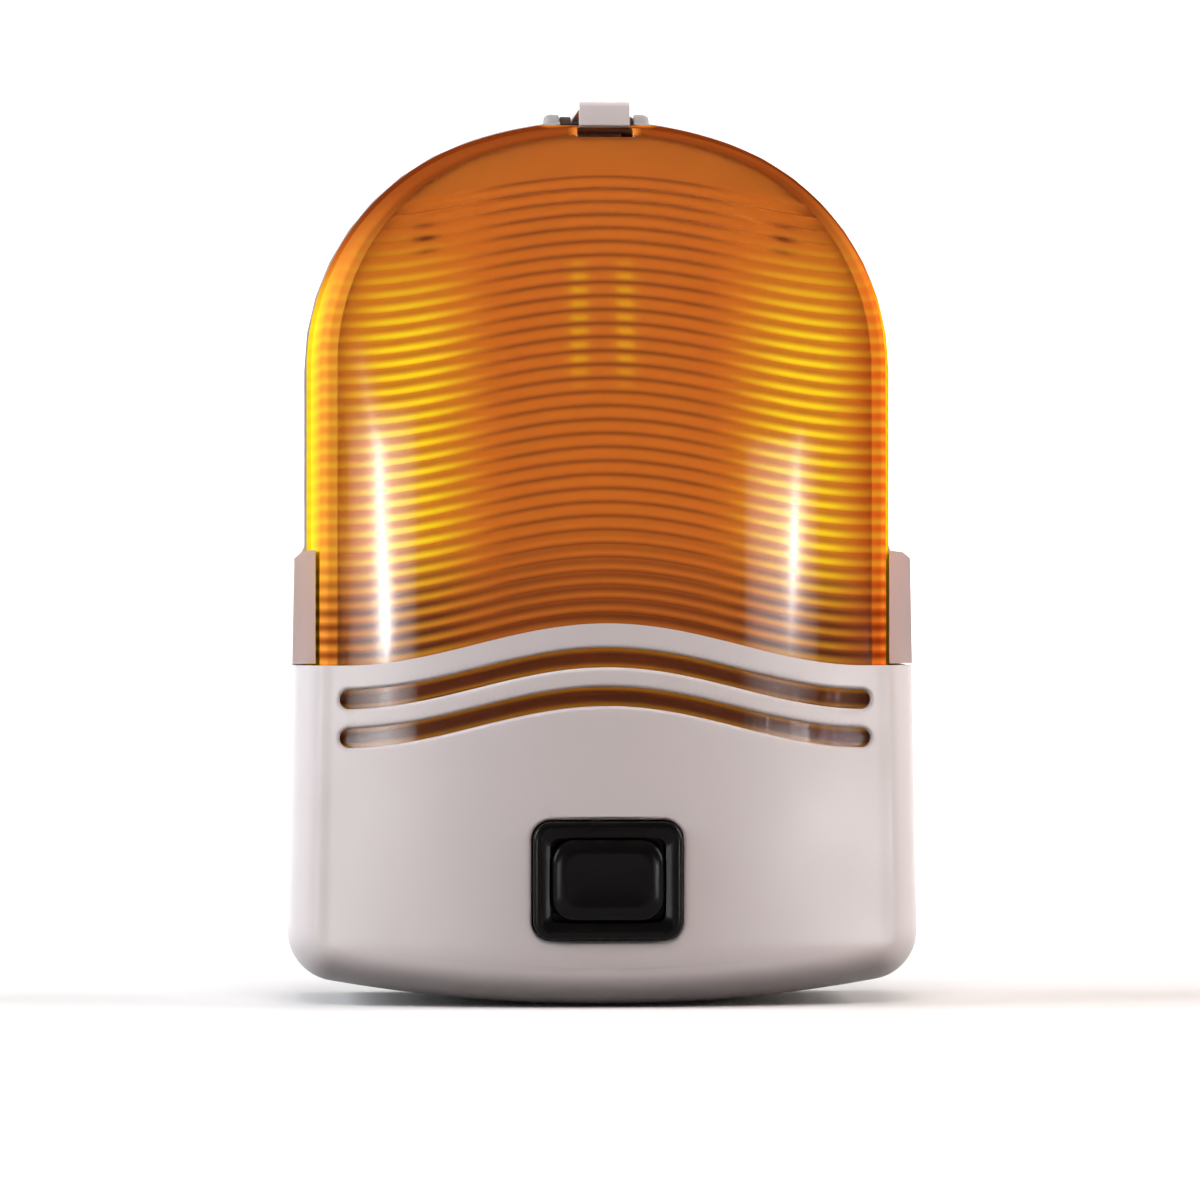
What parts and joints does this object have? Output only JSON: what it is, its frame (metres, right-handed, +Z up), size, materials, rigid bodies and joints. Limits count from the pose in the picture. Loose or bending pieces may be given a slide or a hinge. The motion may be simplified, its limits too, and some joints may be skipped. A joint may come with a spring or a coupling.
{
  "type": "barricade warning light",
  "caption": "Arched battery warning light with a ribbed amber lens hood, wave-edged off-white housing, top latch clip and black push switch.",
  "frame": {"origin": "on the flat rear mounting face, on the middle line, 97 mm above the lowest point of the housing", "axes": "+Z up, +Y out of the rear face, the lens and switch face -Y, +X to the viewer's right"},
  "size_m": [0.1368, 0.0676, 0.1948],
  "materials": {
    "shell": "fine satin moulded, warm off-white",
    "amber": "clear amber, polished outside, ribbed inside",
    "switch_black": "satin black moulded",
    "steel": "zinc plated",
    "brass": "bright strip",
    "clear_glass": "clear",
    "reflector_white": "gloss white",
    "board_green": "solder mask",
    "chip_black": "moulded epoxy",
    "cell_jacket": "plain printed sleeve",
    "cradle_grey": "moulded grey",
    "gasket_black": "closed-cell foam"
  },
  "bodies": {
    "housing": {"base": "shell", "front_cover": "shell", "switch_bezel": "switch_black", "switch_body": "switch_black", "latch_pin": "steel", "switch_spring": "steel", "mounting_nut": "steel", "board_screw_1": "steel", "board_screw_2": "steel", "cover_screw_1": "steel", "cover_screw_2": "steel", "cover_screw_3": "steel", "cover_screw_4": "steel", "reflector_screw_1": "steel", "reflector_screw_2": "steel", "reflector_screw_3": "steel", "reflector_screw_4": "steel", "bulb_base": "brass", "switch_terminal_1": "brass", "switch_terminal_2": "brass", "contact_bottom_left": "brass", "contact_bottom_right": "brass", "contact_top_left": "brass", "contact_top_middle": "brass", "contact_top_right": "brass", "bulb_glass": "clear_glass", "reflector": "reflector_white", "lamp_post": "reflector_white", "circuit_board": "board_green", "flasher_chip": "chip_black", "drive_transistor": "chip_black", "cell_1": "cell_jacket", "cell_2": "cell_jacket", "cell_3": "cell_jacket", "cell_4": "cell_jacket", "timing_capacitor": "cell_jacket", "battery_cradle": "cradle_grey", "lens_gasket": "gasket_black"},
    "lens": {"lens": "amber"},
    "latch": {"latch_clip": "shell"},
    "button": {"switch_button": "switch_black"}
  },
  "joints": [
    {"name": "button_press", "type": "slide", "parent": "housing", "child": "button", "axis": [0, 1, 0], "range_m": [0, 0.0025], "stiffness_N_per_m": 1200, "deforming": ["switch_spring"]},
    {"name": "latch_swing", "type": "hinge", "parent": "housing", "child": "latch", "pos_m": [0, -0.015, 0.0946], "axis": [-1, 0, 0], "range_deg": [0, 110]},
    {"name": "lens_lift", "type": "slide", "parent": "housing", "child": "lens", "axis": [0, 0, 1], "range_m": [0, 0.045]}
  ]
}
